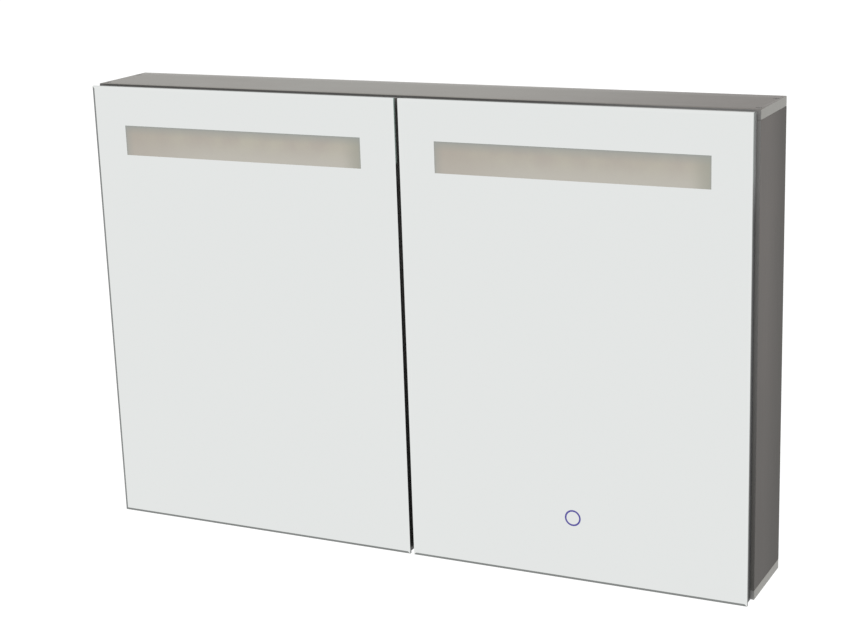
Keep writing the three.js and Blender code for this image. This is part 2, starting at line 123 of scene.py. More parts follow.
class Effects:
    """Shader node groups that put out varying colours, values and heights."""

    GRAIN_DETAIL: float = 4.0
    MOTTLE_DETAIL: float = 3.0
    MOTTLE_RANGE: tuple[float, float] = (0.35, 0.65)
    DUST_DETAIL: float = 6.0
    DUST_SCALE: float = 60.0

    def __init__(self) -> None:
        """Builds every group once."""
        self.grain = self._grain()
        self.mottle = self._mottle()
        self.dust = self._dust()
        self.fade = self._fade()

    @staticmethod
    def _group(name: str, inputs: dict[str, str], outputs: dict[str, str]) -> tuple[Tree, Node, Node]:
        """Starts a group with named sockets.

        Args:
            name: the group's name.
            inputs: socket name to its type.
            outputs: socket name to its type.

        Returns:
            The tree, its input node and its output node.
        """
        tree = bpy.data.node_groups.new(name, "ShaderNodeTree")
        for way, sockets in (("INPUT", inputs), ("OUTPUT", outputs)):
            for label, kind in sockets.items():
                tree.interface.new_socket(label, in_out=way, socket_type=f"NodeSocket{kind}")
        return tree, tree.nodes.new("NodeGroupInput"), tree.nodes.new("NodeGroupOutput")

    def _grain(self) -> Tree:
        """Brush marks: fine stretched noise as a roughness and a height."""
        tree, given, out = self._group(
            "brush_marks",
            {"Vector": "Vector", "Fineness": "Float", "Roughness": "Float", "Spread": "Float"},
            {"Roughness": "Float", "Height": "Float"})
        noise = add_node(tree, "TexNoise", {
            "Vector": given.outputs["Vector"], "Scale": given.outputs["Fineness"],
            "Detail": self.GRAIN_DETAIL})
        centred = self._math(tree, "SUBTRACT", noise.outputs["Fac"], 0.5)
        spread = self._math(tree, "MULTIPLY", centred, given.outputs["Spread"])
        total = self._math(tree, "ADD", spread, given.outputs["Roughness"])
        feed(tree, out, {"Roughness": total, "Height": noise.outputs["Fac"]})
        return tree

    def _mottle(self) -> Tree:
        """Soft cloudy change of a colour towards a second one."""
        tree, given, out = self._group(
            "soft_mottle",
            {"Vector": "Vector", "Scale": "Float", "Amount": "Float", "First": "Color", "Second": "Color"},
            {"Color": "Color", "Mask": "Float"})
        noise = add_node(tree, "TexNoise", {
            "Vector": given.outputs["Vector"], "Scale": given.outputs["Scale"],
            "Detail": self.MOTTLE_DETAIL})
        steep = add_node(tree, "MapRange", {
            "Value": noise.outputs["Fac"], "From Min": self.MOTTLE_RANGE[0],
            "From Max": self.MOTTLE_RANGE[1]})
        mask = self._math(tree, "MULTIPLY", steep.outputs["Result"], given.outputs["Amount"])
        return self._blend(tree, out, mask, given.outputs["First"], given.outputs["Second"])

    def _dust(self) -> Tree:
        """A thin film of dust on faces that look up."""
        tree, given, out = self._group(
            "dust_film",
            {"Vector": "Vector", "Amount": "Float", "Color": "Color", "Dust": "Color"},
            {"Color": "Color", "Mask": "Float"})
        surface = tree.nodes.new("ShaderNodeNewGeometry")
        split = add_node(tree, "SeparateXYZ", {"Vector": surface.outputs["Normal"]})
        upward = self._math(tree, "MAXIMUM", split.outputs["Z"], 0.0)
        noise = add_node(tree, "TexNoise", {
            "Vector": given.outputs["Vector"], "Scale": self.DUST_SCALE, "Detail": self.DUST_DETAIL})
        patchy = self._math(tree, "MULTIPLY", upward, noise.outputs["Fac"])
        mask = self._math(tree, "MULTIPLY", patchy, given.outputs["Amount"])
        return self._blend(tree, out, mask, given.outputs["Color"], given.outputs["Dust"])

    def _fade(self) -> Tree:
        """A smooth change of colour towards a tint between two places along an axis, which paints light and
        shade.
        """
        tree, given, out = self._group(
            "fade",
            {"Value": "Float", "Start": "Float", "End": "Float", "Amount": "Float", "Color": "Color",
             "Tint": "Color"},
            {"Color": "Color", "Mask": "Float"})
        ease = add_node(tree, "MapRange", {
            "Value": given.outputs["Value"], "From Min": given.outputs["Start"],
            "From Max": given.outputs["End"]})
        ease.interpolation_type = "SMOOTHSTEP"
        mask = self._math(tree, "MULTIPLY", ease.outputs["Result"], given.outputs["Amount"])
        return self._blend(tree, out, mask, given.outputs["Color"], given.outputs["Tint"])

    @staticmethod
    def _math(tree: Tree, operation: str, first: Socket, second: Socket | float) -> Socket:
        """Adds a Math node. Returns its output."""
        node = add_node(tree, "Math", {0: first, 1: second})
        node.operation = operation
        return node.outputs[0]

    @staticmethod
    def _blend(tree: Tree, out: Node, mask: Socket, first: Socket, second: Socket) -> Tree:
        """Ends a group with a mix of two colours by a mask. Returns its tree."""
        node = tree.nodes.new("ShaderNodeMix")
        node.data_type = "RGBA"
        for name, socket in (("Factor", mask), ("A", first), ("B", second)):
            tree.links.new(socket, node.inputs[name])
        feed(tree, out, {"Color": node.outputs["Result"], "Mask": mask})
        return tree


# ---- Finishes ----


@dataclass(frozen=True)
class Fade:
    """A drift of a finish towards another colour, from one place along an axis to another: painted light
    and shade.
    """

    axis: Axis
    start: float
    end: float
    colour: Colour
    amount: float = 1.0


@dataclass(frozen=True)
class Finish:
    """How a surface looks. The second colour is what the first drifts towards in soft patches."""

    name: str
    colour: Colour
    second: Colour
    roughness: float
    metallic: float = 0.0
    grain: Grain = Grain.NONE
    fineness: float = 900.0
    spread: float = 0.08
    bump: float = 0.02
    mottle_scale: float = 9.0
    mottle_amount: float = 0.6
    fades: tuple[Fade, ...] = ()
    dust: float = 0.0
    coat: float = 0.0
    transmission: float = 0.0
    emission: float = 0.0


# Painted reflection: the glass edges are painted light above EDGE_STEP and dark below it, for the lighter
# and darker surroundings they reflect.
EDGE_STEP: float = -0.046  # where the glass edge turns from light to dark
STEP_BLUR: float = 0.002
# stile_metal, and rail_metal made from it, is painted darker towards the bottom: painted shade for the
# darker surroundings the frame reflects lower down.
STILE = Finish("stile_metal", (0.230, 0.220, 0.208), (0.205, 0.196, 0.186), 0.38, 0.35, Grain.ALONG_Z,
               fades=(Fade(Axis.Z, -0.06, -0.50, (0.062, 0.061, 0.058)),))
DULL = replace(STILE, roughness=0.45, metallic=0.2)
BEVEL = Finish("bright_bevel", (0.785, 0.802, 0.793), (0.775, 0.792, 0.783), 0.04, 1.0, spread=0.01,
               bump=0.0)
EDGE = Finish("side_edge", (0.110, 0.145, 0.135), (0.092, 0.125, 0.115), 0.12, 0.8, spread=0.04, bump=0.01,
              mottle_scale=14.0,
              fades=(Fade(Axis.Z, EDGE_STEP + STEP_BLUR, EDGE_STEP - STEP_BLUR, (0.030, 0.034, 0.033)),))
FINISHES: tuple[Finish, ...] = (
    # side_metal: the same metal as top_metal, given a darker colour as painted shade on the side faces and
    # painted darker still towards the bottom and the rear; its dust is real.
    Finish("side_metal", (0.142, 0.127, 0.116), (0.131, 0.121, 0.112), 0.50, 1.0, Grain.ALONG_Z, bump=0.03,
           fades=(Fade(Axis.Z, 0.0, -0.56, (0.092, 0.083, 0.075)),
                  Fade(Axis.Y, -0.08, 0.0, (0.046, 0.042, 0.035), 0.60)), dust=0.03),
    # top_metal: a painted highlight along the rear edge, and painted shade that darkens the panel towards
    # the right; its dust is real.
    Finish("top_metal", (0.245, 0.236, 0.212), (0.222, 0.206, 0.183), 0.42, 1.0, Grain.ALONG_X, bump=0.03,
           fades=(Fade(Axis.Y, -0.009, -0.004, (0.42, 0.41, 0.385), 0.6),
                  Fade(Axis.X, 0.08, 0.50, (0.118, 0.100, 0.086))), dust=0.08),
    Finish("cut_metal", (0.282, 0.277, 0.253), (0.262, 0.252, 0.232), 0.36, 1.0, Grain.ALONG_X, bump=0.03,
           dust=0.03),
    Finish("inner_metal", (0.46, 0.46, 0.45), (0.42, 0.42, 0.41), 0.38, 1.0, Grain.ALONG_Z, bump=0.03),
    STILE,
    replace(STILE, name="rail_metal", grain=Grain.ALONG_X),
    # stile_side: the hinge stile's outer face, a lighter copy of the frame metal with painted shade that
    # darkens it towards the bottom.
    replace(DULL, name="stile_side", colour=(0.270, 0.280, 0.275), second=(0.240, 0.250, 0.245),
            fades=(Fade(Axis.Z, -0.03, -0.10, (0.072, 0.074, 0.073)),
                   Fade(Axis.Z, -0.10, -0.52, (0.042, 0.043, 0.043)))),
    # rail_top: the rails' top and bottom faces, with a painted reflection that is dark at the left and
    # lighter at the right.
    replace(DULL, name="rail_top", colour=(0.110, 0.107, 0.102), second=(0.095, 0.092, 0.088),
            grain=Grain.ALONG_X, fades=(Fade(Axis.X, 0.10, 0.36, (0.300, 0.302, 0.296)),)),
    # front_edge: the side panels' front faces, a lighter copy of the frame metal with painted shade that
    # darkens it towards the bottom.
    replace(DULL, name="front_edge", colour=(0.260, 0.257, 0.250), second=(0.235, 0.232, 0.225),
            fades=(Fade(Axis.Z, -0.03, -0.12, (0.200, 0.196, 0.190)),
                   Fade(Axis.Z, -0.12, -0.55, (0.120, 0.116, 0.110)))),
    # cover_front: the cover panels' front faces, with a painted reflection that is dark at the left and
    # lighter at the right.
    replace(DULL, name="cover_front", colour=(0.135, 0.132, 0.126), second=(0.120, 0.117, 0.112),
            grain=Grain.ALONG_X, fades=(Fade(Axis.X, 0.15, 0.40, (0.250, 0.246, 0.240)),)),
    Finish("mirror_face", (0.775, 0.792, 0.784), (0.770, 0.788, 0.780), 0.015, 1.0, spread=0.004, bump=0.0,
           mottle_scale=3.0),
    BEVEL,
    # A darker copy of the bright bevel: painted dark reflection on the bevel faces that look down, and left
    # on the left door.
    replace(BEVEL, name="dark_reflection_bevel", colour=(0.215, 0.225, 0.220), second=(0.250, 0.262, 0.255)),
    EDGE,
    # gap_edge: a lighter copy of the glass edge where the doors meet, a painted reflection of the bright
    # room. top_edge: a painted highlight towards the right.
    replace(EDGE, name="gap_edge", colour=(0.520, 0.660, 0.610), second=(0.440, 0.580, 0.530),
            roughness=0.3, metallic=0.2),
    replace(EDGE, name="top_edge", fades=(Fade(Axis.X, 0.15, 0.36, (0.470, 0.490, 0.480)),)),
    Finish("shelf_glass", (0.86, 0.95, 0.92), (0.84, 0.94, 0.91), 0.02, bump=0.0, spread=0.0,
           transmission=0.9),
    Finish("nickel", (0.60, 0.59, 0.565), (0.54, 0.53, 0.51), 0.24, 1.0, bump=0.02, spread=0.12),
    Finish("white_moulding", (0.74, 0.73, 0.70), (0.70, 0.69, 0.655), 0.5, bump=0.05, fineness=1800.0),
    Finish("opal_sheet", (0.62, 0.59, 0.52), (0.58, 0.55, 0.48), 0.45, bump=0.02),
    Finish("strip_board", (0.80, 0.79, 0.76), (0.74, 0.73, 0.70), 0.4, bump=0.02),
    Finish("lamp_chip", (0.85, 0.72, 0.30), (0.80, 0.68, 0.27), 0.3, coat=0.5),
    Finish("dark_moulding", (0.028, 0.028, 0.031), (0.036, 0.036, 0.038), 0.55, bump=0.08, fineness=1500.0),
    Finish("soft_bumper", (0.72, 0.74, 0.74), (0.70, 0.72, 0.72), 0.3, transmission=0.5),
    Finish("screw_metal", (0.120, 0.110, 0.102), (0.105, 0.097, 0.090), 0.34, 1.0, bump=0.02),
    Finish("ring_light", (0.074, 0.058, 0.330), (0.066, 0.052, 0.310), 0.35, emission=0.05),
)
FROSTED = Finish("frosted_window", (0.490, 0.462, 0.386), (0.440, 0.396, 0.352), 0.5, fineness=2400.0,
                 bump=0.08, mottle_scale=30.0, mottle_amount=0.75)


def frosted_finish(name: str, low: Vector, high: Vector) -> Finish:
    """Frosted glass over an unlit opal sheet, with painted shade towards the edges of its opening and a
    painted lighter foot.

    Args:
        name: the finish's name.
        low: the window's lowest corner.
        high: the window's highest corner.

    Returns:
        The finish.
    """
    # Painted light and shade: a lighter foot, darker left and right ends, and thin darker bands along the
    # left, top and right edges, as the light box's walls shade the sheet.
    foot, start = (0.520, 0.496, 0.440), (0.425, 0.380, 0.330)
    edge_shade, end = (0.325, 0.345, 0.325), (0.350, 0.350, 0.295)
    far, wide, near, line = 130.0 * MM, 30.0 * MM, 14.0 * MM, 3.5 * MM
    fades = (
        Fade(Axis.Z, low.z + wide, low.z, foot),
        Fade(Axis.X, low.x + far, low.x, start, 0.55),
        Fade(Axis.X, high.x - wide, high.x, end, 0.75),
        Fade(Axis.X, low.x + near, low.x, edge_shade, 0.4),
        Fade(Axis.Z, high.z - near, high.z, edge_shade, 0.6),
        Fade(Axis.X, high.x - line, high.x, edge_shade, 0.5),
        Fade(Axis.X, low.x + line, low.x, edge_shade, 0.5),
        Fade(Axis.Z, high.z - line, high.z, edge_shade, 0.6),
    )
    return replace(FROSTED, name=name, fades=fades)


class MaterialShop:
    """Makes one procedural material for each finish."""

    DUST_COLOUR: Colour = (0.50, 0.48, 0.45)
    BUMP_DISTANCE: float = 0.4 * MM
    COAT_ROUGHNESS: float = 0.08

    def __init__(self, effects: Effects) -> None:
        """Keeps the shared effects and makes the materials."""
        self.effects = effects
        self.made: dict[str, bpy.types.Material] = {}
        for finish in FINISHES:
            self.add(finish)

    def add(self, finish: Finish) -> None:
        """Makes one more material."""
        self.made[finish.name] = self._make(finish)

    def __getitem__(self, name: str) -> bpy.types.Material:
        """Returns the material of a finish."""
        return self.made[name]

    def _make(self, finish: Finish) -> bpy.types.Material:
        """Builds the node tree of one finish.

        Args:
            finish: the values to use.

        Returns:
            The material.
        """
        material = bpy.data.materials.new(finish.name)
        material.use_nodes = True
        tree = material.node_tree
        place = tree.nodes.new("ShaderNodeTexCoord").outputs["Object"]
        shader = feed(tree, tree.nodes["Principled BSDF"], {
            "Metallic": finish.metallic, "Coat Weight": finish.coat,
            "Coat Roughness": self.COAT_ROUGHNESS, "Transmission Weight": finish.transmission,
            "Emission Strength": finish.emission, "Emission Color": (*finish.colour, 1.0),
            "Base Color": self._colour(tree, finish, place)})
        stretch = add_node(tree, "Mapping", {
            "Vector": place, "Scale": finish.grain.value})
        grain = self._use(tree, self.effects.grain, {
            "Vector": stretch.outputs["Vector"], "Fineness": finish.fineness,
            "Roughness": finish.roughness, "Spread": finish.spread})
        feed(tree, shader, {"Roughness": grain.outputs["Roughness"]})
        if finish.bump:
            bump = add_node(tree, "Bump", {
                "Strength": finish.bump, "Distance": self.BUMP_DISTANCE,
                "Height": grain.outputs["Height"]})
            feed(tree, shader, {"Normal": bump.outputs["Normal"]})
        return material

    def _colour(self, tree: Tree, finish: Finish, place: Socket):
        """Chains mottle, fades and dust. Returns the socket with the colour."""
        mottle = self._use(tree, self.effects.mottle, {
            "Vector": place, "Scale": finish.mottle_scale, "Amount": finish.mottle_amount,
            "First": (*finish.colour, 1.0), "Second": (*finish.second, 1.0)})
        colour = mottle.outputs["Color"]
        axes = add_node(tree, "SeparateXYZ", {"Vector": place})
        for fade in finish.fades:
            step = self._use(tree, self.effects.fade, {
                "Value": axes.outputs[fade.axis.value], "Start": fade.start, "End": fade.end,
                "Amount": fade.amount, "Color": colour, "Tint": (*fade.colour, 1.0)})
            colour = step.outputs["Color"]
        if finish.dust:
            dust = self._use(tree, self.effects.dust, {
                "Vector": place, "Amount": finish.dust, "Color": colour, "Dust": (*self.DUST_COLOUR, 1.0)})
            colour = dust.outputs["Color"]
        return colour

    @staticmethod
    def _use(tree: Tree, group: Tree, inputs: dict) -> Node:
        """Places a group in a material and fills its inputs. Returns its node."""
        node = tree.nodes.new("ShaderNodeGroup")
        node.node_tree = group
        return feed(tree, node, inputs)


# ---- Modelling by hand ----


class Bench:
    """The operators that shape a piece, each leaving it at the origin with its place in its mesh."""

    SMOOTH_ANGLE: float = math.radians(35)
    SHARP_ANGLE: float = math.radians(40)
    FLAT_ANGLE: float = math.radians(0.5)
    FACE_WEIGHT: int = 100
    WELD: float = 1e-6

    @staticmethod
    def pick(piece: Piece) -> None:
        """Selects one object and nothing else."""
        bpy.ops.object.select_all(action="DESELECT")
        piece.hide_viewport = False
        piece.select_set(True)
        bpy.context.view_layer.objects.active = piece

    @classmethod
    def settle(cls, piece: Piece, name: str) -> Piece:
        """Names a piece and puts its place, turn and scale into its mesh."""
        cls.pick(piece)
        bpy.ops.object.transform_apply(location=True, rotation=True, scale=True)
        piece.name = piece.data.name = name
        return piece

    @classmethod
    def box(cls, name: str, low: Vector, high: Vector) -> Piece:
        """A box between two corners, to be shaped further."""
        bpy.ops.object.select_all(action="DESELECT")
        bpy.ops.mesh.primitive_cube_add(size=1, location=(low + high) / 2, scale=high - low)
        return cls.settle(bpy.context.object, name)

    @classmethod
    def disc(cls, name: str, radius: float, depth: float, sides: int = 40) -> Piece:
        """A short cylinder that stands on the origin and points along +Z."""
        bpy.ops.object.select_all(action="DESELECT")
        bpy.ops.mesh.primitive_cylinder_add(
            vertices=sides, radius=radius, depth=depth, location=(0, 0, depth / 2))
        return cls.settle(bpy.context.object, name)

    @classmethod
    def edit_faces(cls, piece: Piece, wanted: Callable[[Face], bool]) -> None:
        """Enters edit mode with only the faces selected for which wanted(face) is true."""
        cls.pick(piece)
        bpy.ops.object.mode_set(mode="EDIT")
        bpy.ops.mesh.select_mode(type="FACE")
        bpy.ops.mesh.select_all(action="DESELECT")
        shape = bmesh.from_edit_mesh(piece.data)
        for face in shape.faces:
            face.select = wanted(face)
        bmesh.update_edit_mesh(piece.data)

    @staticmethod
    def leave() -> None:
        """Back to object mode."""
        bpy.ops.object.mode_set(mode="OBJECT")

    @classmethod
    def modify(cls, piece: Piece, kind: str, **settings: object) -> None:
        """Adds a modifier with the given settings to a piece and applies it."""
        cls.pick(piece)
        modifier = piece.modifiers.new(kind, kind)
        for name, value in settings.items():
            setattr(modifier, name, value)
        bpy.ops.object.modifier_apply(modifier=modifier.name)

    @classmethod
    def bevel(cls, piece: Piece, width: float, segments: int = 2) -> Piece:
        """Rounds sharp edges. The large faces set the shading and look flat up to their edges."""
        cls.modify(piece, "BEVEL", width=width, segments=segments, limit_method="ANGLE",
                   angle_limit=cls.SHARP_ANGLE, use_clamp_overlap=True)
        cls.smooth(piece)
        cls.modify(piece, "WEIGHTED_NORMAL", weight=cls.FACE_WEIGHT, keep_sharp=True)
        return piece

    @classmethod
    def smooth(cls, piece: Piece) -> Piece:
        """Smooth shading up to a fixed angle."""
        cls.pick(piece)
        bpy.ops.object.shade_smooth_by_angle(angle=cls.SMOOTH_ANGLE)
        return piece

    @classmethod
    def subtract(cls, piece: Piece, tool: Piece) -> None:
        """Cuts a tool out of a piece and removes the tool."""
        cls.modify(piece, "BOOLEAN", operation="DIFFERENCE", object=tool, solver="EXACT")
        bpy.data.objects.remove(tool)

    @classmethod
    def merge(cls, pieces: list[Piece], name: str) -> Piece:
        """Joins several objects into one of the given name."""
        cls.pick(pieces[0])
        for piece in pieces[1:]:
            piece.select_set(True)
        bpy.ops.object.join()
        return cls.settle(pieces[0], name)

    @staticmethod
    def copy_at(pattern: Piece, name: str, place: Matrix) -> Piece:
        """A copy with its own mesh, moved there by a matrix that goes into the mesh."""
        piece = pattern.copy()
        piece.data = pattern.data.copy()
        piece.name = piece.data.name = name
        piece.data.transform(place)
        bpy.context.scene.collection.objects.link(piece)
        return piece

    @classmethod
    def from_node(cls, node: str, name: str, width: float, holes: bool = False) -> Piece:
        """A finer copy of a CAD node, with its loose triangles merged and its edges rounded.

        Args:
            node: the CAD node.
            name: the new piece's name.
            width: how wide the rounding is.
            holes: whether its faces have holes, which keeps its triangles as they are.

        Returns:
            The new piece.
        """
        piece = cls.copy_at(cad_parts[node], name, Matrix())
        piece.parent = None
        for key in list(piece.keys()):
            del piece[key]
        piece.data.materials.clear()
        cls.pick(piece)
        bpy.ops.object.mode_set(mode="EDIT")
        bpy.ops.mesh.select_all(action="SELECT")
        bpy.ops.mesh.remove_doubles(threshold=cls.WELD)
        if not holes:
            bpy.ops.mesh.dissolve_limited(angle_limit=cls.FLAT_ANGLE)
        cls.leave()
        return cls.bevel(piece, width)


def turned_to(facing: Facing, place: Vector, twist: float = 0.0) -> Matrix:
    """Where a part that points along +Z goes.

    Args:
        facing: the way it is to point.
        place: where its foot is.
        twist: its turn about its own axis, in radians.

    Returns:
        The matrix for its mesh.
    """
    turn = Vector((0, 0, 1)).rotation_difference(Vector(facing.value)).to_matrix().to_4x4()
    return Matrix.Translation(place) @ turn @ Matrix.Rotation(twist, 4, "Z")


def looks(facing: Facing) -> Callable[[Face], bool]:
    """A test for faces that look the given way."""
    outward = Vector(facing.value)
    return lambda face: face.normal.dot(outward) > STRAIGHT


class Assembly:
    """Gives pieces their materials and bodies."""

    def __init__(self, shop: MaterialShop) -> None:
        """Keeps the materials."""
        self.shop = shop

    def dress(self, node: str, finish: str) -> None:
        """Gives a CAD node that stays its material."""
        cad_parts[node].data.materials.clear()
        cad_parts[node].data.materials.append(self.shop[finish])
        log.info("dressed %s in %s", node, finish)

    def fit(self, piece: Piece, body: str, slot: str, finish: str | None,
            *nodes: str) -> Piece:
        """Gives a new piece its material and body, and hides the CAD nodes that it stands for."""
        if finish:
            piece.data.materials.clear()
            piece.data.materials.append(self.shop[finish])
        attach(piece, body)
        if nodes:
            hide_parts(*nodes)
        log.info("fitted %s on %s", piece.name, body)
        return piece

    def soften(self, node: str, body: str, slot: str, finish: str, width: float,
               holes: bool = False) -> Piece:
        """Replaces a CAD node by a copy with rounded edges."""
        piece = Bench.from_node(node, f"{node}_fine", width, holes)
        return self.fit(piece, body, slot, finish, node)

    def paint(self, piece: Piece, finish: str,
              wanted: Callable[[Face], bool]) -> None:
        """Gives the faces for which wanted(face) is true a finish of their own."""
        piece.data.materials.append(self.shop[finish])
        last = len(piece.data.materials) - 1
        for face in piece.data.polygons:
            if wanted(face):
                face.material_index = last


# ---- Screws ----


@dataclass
class ScrewPattern:
    """A flat-topped screw head with a cross recess, which stands on the origin and points up."""

    radius: float = 3.1 * MM
    height: float = 0.7 * MM
    slot_width: float = 0.9 * MM
    slot_depth: float = 0.5 * MM
    slot_share: float = 0.62
    rim_share: float = 0.18
    crown_share: float = 0.25
    edge_share: float = 0.12
    tool_share: float = 2.3  # how high the tool for the recess stands, in heights of the head

    def build(self) -> Piece:
        """Models the head once. Returns it, the pattern for the copies."""
        head = Bench.disc("screw_pattern", self.radius, self.height)
        Bench.edit_faces(head, looks(Facing.UP))
        bpy.ops.mesh.inset(thickness=self.radius * self.rim_share, depth=self.height * self.crown_share)
        Bench.leave()
        reach = self.radius * self.slot_share
        top = self.height * self.tool_share
        floor = self.height - self.slot_depth
        for across in (Vector((reach, self.slot_width / 2, 0)), Vector((self.slot_width / 2, reach, 0))):
            low = Vector((-across.x, -across.y, floor))
            high = Vector((across.x, across.y, top))
            Bench.subtract(head, Bench.box("recess", low, high))
        return Bench.bevel(head, self.height * self.edge_share, segments=1)


class ScrewBox:
    """Copies of the screw pattern at given places."""

    def __init__(self, assembly: Assembly) -> None:
        """Models the pattern."""
        self.assembly = assembly
        self.pattern = ScrewPattern().build()

    def drive(self, name: str, body: str, facing: Facing, place: Vector, scale: float = 1.0,
              twist: float = 0.3, finish: str = "nickel") -> None:
        """Sets one screw head on a surface."""
        where = turned_to(facing, place, twist) @ Matrix.Scale(scale, 4)
        screw = Bench.copy_at(self.pattern, name, where)
        self.assembly.fit(screw, body, "nickel_steel", finish)

    def close(self) -> None:
        """Removes the pattern."""
        bpy.data.objects.remove(self.pattern)


# ---- Case ----


@dataclass
class Case:
    """Panels, divider, back and hanging rail, with the screws that hold the corners."""

    assembly: Assembly
    screws: ScrewBox
    edge: float = 0.45 * MM
    screw_from_side: float = 6.0 * MM
    screw_from_front: float = 12.0 * MM
    screw_from_rear: float = 24.0 * MM
    back_columns: int = 5
    back_rows: int = 3
    back_inset: float = 14.0 * MM
    sink_radius: float = 3.6 * MM
    sink_depth: float = 0.5 * MM
    head_depth: float = 0.9 * MM
    inner_edge: float = 0.27 * MM

    def build(self) -> None:
        """Builds the case."""
        self.add_cover("top_panel", Facing.UP)
        self.add_cover("bottom_panel", Facing.DOWN)
        soften = self.assembly.soften
        for side in SIDES:
            panel = soften(f"{side}_side_panel", "cabinet", "case_aluminium", "side_metal", self.edge, True)
            # The front faces carry painted shade, darker towards the bottom.
            self.assembly.paint(panel, "front_edge", looks(Facing.FRONT))
        for node in ("back_panel", "centre_divider", "hanging_rail"):
            soften(node, "cabinet", "inner_aluminium", "inner_metal", self.inner_edge, True)
        self.add_back_screws()

    def add_back_screws(self) -> None:
        """Small screws along the lower edge and both sides of the back panel, seen from behind."""
        low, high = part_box("back_panel")
        inset = self.back_inset
        left, right = low.x + inset, high.x - inset
        foot = low.z + inset
        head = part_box("hanging_rail")[0].z - inset
        places = [(left + (right - left) * step / self.back_columns, foot)
                  for step in range(self.back_columns + 1)]
        places += [(x, foot + (head - foot) * step / self.back_rows)
                   for x in (left, right) for step in range(1, self.back_rows + 1)]
        for count, (x, z) in enumerate(places):
            self.screws.drive(f"back_screw_{count}", "cabinet", Facing.REAR, Vector((x, high.y, z)))

    def add_cover(self, node: str, facing: Facing) -> None:
        """The top or bottom panel, screwed down into the side panels through shallow counterbores."""
        low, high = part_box(node)
        outside = high.z if facing is Facing.UP else low.z
        piece = Bench.from_node(node, f"{node}_fine", self.edge)
        outward = Vector(facing.value)
        rows = (("front", low.y + self.screw_from_front), ("rear", high.y - self.screw_from_rear))
        for side, sign in SIDES.items():
            for row, y in rows:
                place = Vector((sign * (high.x - self.screw_from_side), y, outside))
                bore = Bench.disc("bore", self.sink_radius, self.sink_depth * 2)
                bore.data.transform(turned_to(facing, place - outward * self.sink_depth))
                Bench.subtract(piece, bore)
                self.screws.drive(f"{node}_{side}_{row}_screw", "cabinet", facing,
                                  place - outward * self.head_depth, finish="screw_metal")
        self.assembly.fit(piece, "cabinet", "case_aluminium", "top_metal", node)
        # The front faces carry a painted reflection, dark at the left and lighter at the right.
        self.assembly.paint(piece, "cover_front", looks(Facing.FRONT))
        self.assembly.paint(piece, "cut_metal", lambda face: (
            abs(face.normal.x) > STRAIGHT and abs(face.center.x) > high.x - self.edge))


# ---- Shelves ----


@dataclass
class Shelves:
    """Glass shelves with edges finished by grinding, on smooth round pins."""

    assembly: Assembly
    grind: float = 0.7 * MM
    pin_radius: float = 2.5 * MM
    pin_edge: float = 0.3 * MM
    pin_sides: int = 32
    flange: float = 1.5 * MM

    def build(self) -> None:
        """Builds the four shelves and their pins."""
        for side in SIDES:
            for level in LEVELS:
                self.assembly.soften(f"{side}_{level}_shelf", "cabinet", "clear_glass", "shelf_glass",
                                     self.grind)
        for column in ("left", "centre", "right"):
            for level in LEVELS:
                for row in ("front", "rear"):
                    self.add_pin(f"{column}_{level}_{row}_shelf_pin", column)

    def add_pin(self, node: str, column: str) -> None:
        """A turned pin in place of a faceted one, with the flange that the outer ones have."""
        low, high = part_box(node)
        middle = (low.y + high.y) / 2
        shank = Bench.disc(f"{node}_fine", self.pin_radius, high.x - low.x, self.pin_sides)
        shank.data.transform(turned_to(Facing.RIGHT, Vector((low.x, middle, high.z - self.pin_radius))))
        parts = [shank]
        if column != "centre":
            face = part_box(f"{column}_side_panel")
            x = face[0].x - self.flange if column == "right" else face[1].x
            collar = Bench.disc("collar", (high.z - low.z) / 2, self.flange, self.pin_sides)
            collar.data.transform(turned_to(Facing.RIGHT, Vector((x, middle, (low.z + high.z) / 2))))
            parts.append(collar)
        pin = Bench.bevel(Bench.merge(parts, f"{node}_fine"), self.pin_edge)
        self.assembly.fit(pin, "cabinet", "nickel_steel", "nickel", node)


# ---- Hinges ----


@dataclass
class Hinges:
    """Concealed hinges in pressed, nickel-plated steel."""

    assembly: Assembly
    screws: ScrewBox
    edge: float = 0.25 * MM
    wing: float = 3.0 * MM
    screw_from_end: float = 6.0 * MM
    arm_screws: tuple[float, float] = (0.45, 0.8)
    arm_scale: float = 0.9
    cup_scale: float = 0.8

    def build(self) -> None:
        """Builds the four hinges."""
        for side, sign in SIDES.items():
            for level in LEVELS:
                name = f"{side}_{level}_hinge"
                for part, body in (("plate", "cabinet"), ("arm", "cabinet"),
                                   ("link", f"{side}_hinge_links"), ("cup", f"{side}_door")):
                    self.assembly.soften(f"{name}_{part}", body, "nickel_steel", "nickel", self.edge,
                                         part != "plate")
                self.add_screws(name, side, sign)

    def add_screws(self, name: str, side: str, sign: int) -> None:
        """Screws on the plate's wings, the arm's back and the cup's flange."""
        inward = Facing.LEFT if sign > 0 else Facing.RIGHT
        low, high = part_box(f"{name}_plate")
        x = sign * (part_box("right_side_panel")[0].x - self.wing)
        y = (low.y + high.y) / 2
        for end, z in (("lower", low.z + self.screw_from_end), ("upper", high.z - self.screw_from_end)):
            self.screws.drive(f"{name}_plate_{end}_screw", "cabinet", inward, Vector((x, y, z)))
        low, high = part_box(f"{name}_arm")
        x = low.x if sign > 0 else high.x
        z = (low.z + high.z) / 2
        for count, share in enumerate(self.arm_screws):
            y = low.y + (high.y - low.y) * share
            self.screws.drive(f"{name}_arm_screw_{count + 1}", "cabinet", inward, Vector((x, y, z)),
                              self.arm_scale)
        low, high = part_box(f"{name}_cup")
        x = (low.x + high.x) / 2
        for end, z in (("lower", low.z + self.screw_from_end), ("upper", high.z - self.screw_from_end)):
            self.screws.drive(f"{name}_cup_{end}_screw", f"{side}_door", Facing.REAR,
                              Vector((x, high.y, z)), self.cup_scale)


# ---- Doors ----


